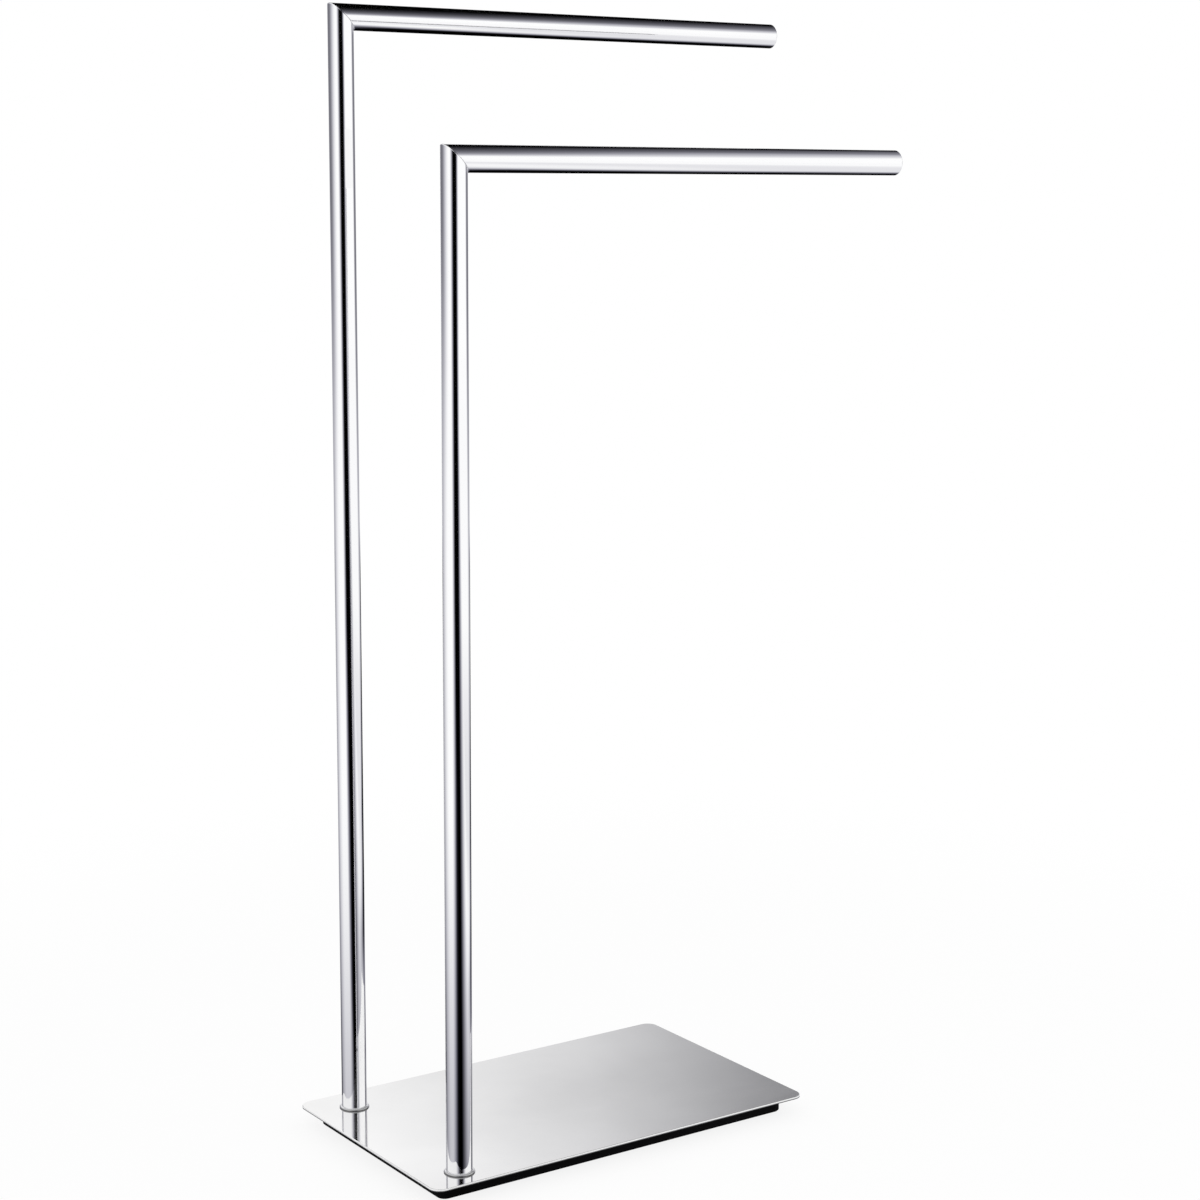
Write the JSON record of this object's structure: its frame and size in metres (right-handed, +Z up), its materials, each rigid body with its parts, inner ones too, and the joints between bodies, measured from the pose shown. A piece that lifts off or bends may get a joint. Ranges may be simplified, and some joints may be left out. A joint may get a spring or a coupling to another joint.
{
  "type": "towel stand",
  "caption": "Free-standing towel stand with L-shaped rails of polished round tube, a tall one behind a lower one, mitred at the corners and bolted to a polished, weighted base plate.",
  "frame": {"origin": "on the floor, under the middle of the stand's overall length and depth", "axes": "+Z up; +X along the rails from the posts towards the arms' free ends; +Y from the low front rail to the tall rear rail"},
  "size_m": [0.424, 0.204, 0.839],
  "materials": {
    "rail_chrome": "polished chrome plate on round steel tube",
    "cap_chrome": "polished chrome plate on the press-fit end caps",
    "ring_chrome": "polished chrome plate on the foot rings",
    "plate_polish": "mirror-polished stainless steel sheet",
    "ballast_black": "black powder coat on the steel ballast slab",
    "joiner_cast": "as-cast elbow, glued in",
    "plug_steel": "turned steel plug",
    "zinc_hardware": "bright zinc plate on standard fasteners",
    "foot_rubber": "matt black rubber"
  },
  "bodies": {
    "root": {"base_plate": "plate_polish", "ballast_slab": "ballast_black", "base_rings": "ring_chrome", "post_plugs": "plug_steel", "post_bolts": "zinc_hardware", "bolt_washers": "zinc_hardware", "spring_washers": "zinc_hardware", "plate_studs": "zinc_hardware", "stud_washers": "zinc_hardware", "stud_nuts": "zinc_hardware", "front_post_tube": "rail_chrome", "front_arm_tube": "rail_chrome", "front_corner_joiner": "joiner_cast", "front_arm_cap": "cap_chrome", "foot_front_left": "foot_rubber", "foot_front_right": "foot_rubber", "rear_post_tube": "rail_chrome", "rear_arm_tube": "rail_chrome", "rear_corner_joiner": "joiner_cast", "rear_arm_cap": "cap_chrome", "foot_rear_left": "foot_rubber", "foot_rear_right": "foot_rubber"}
  },
  "joints": []
}
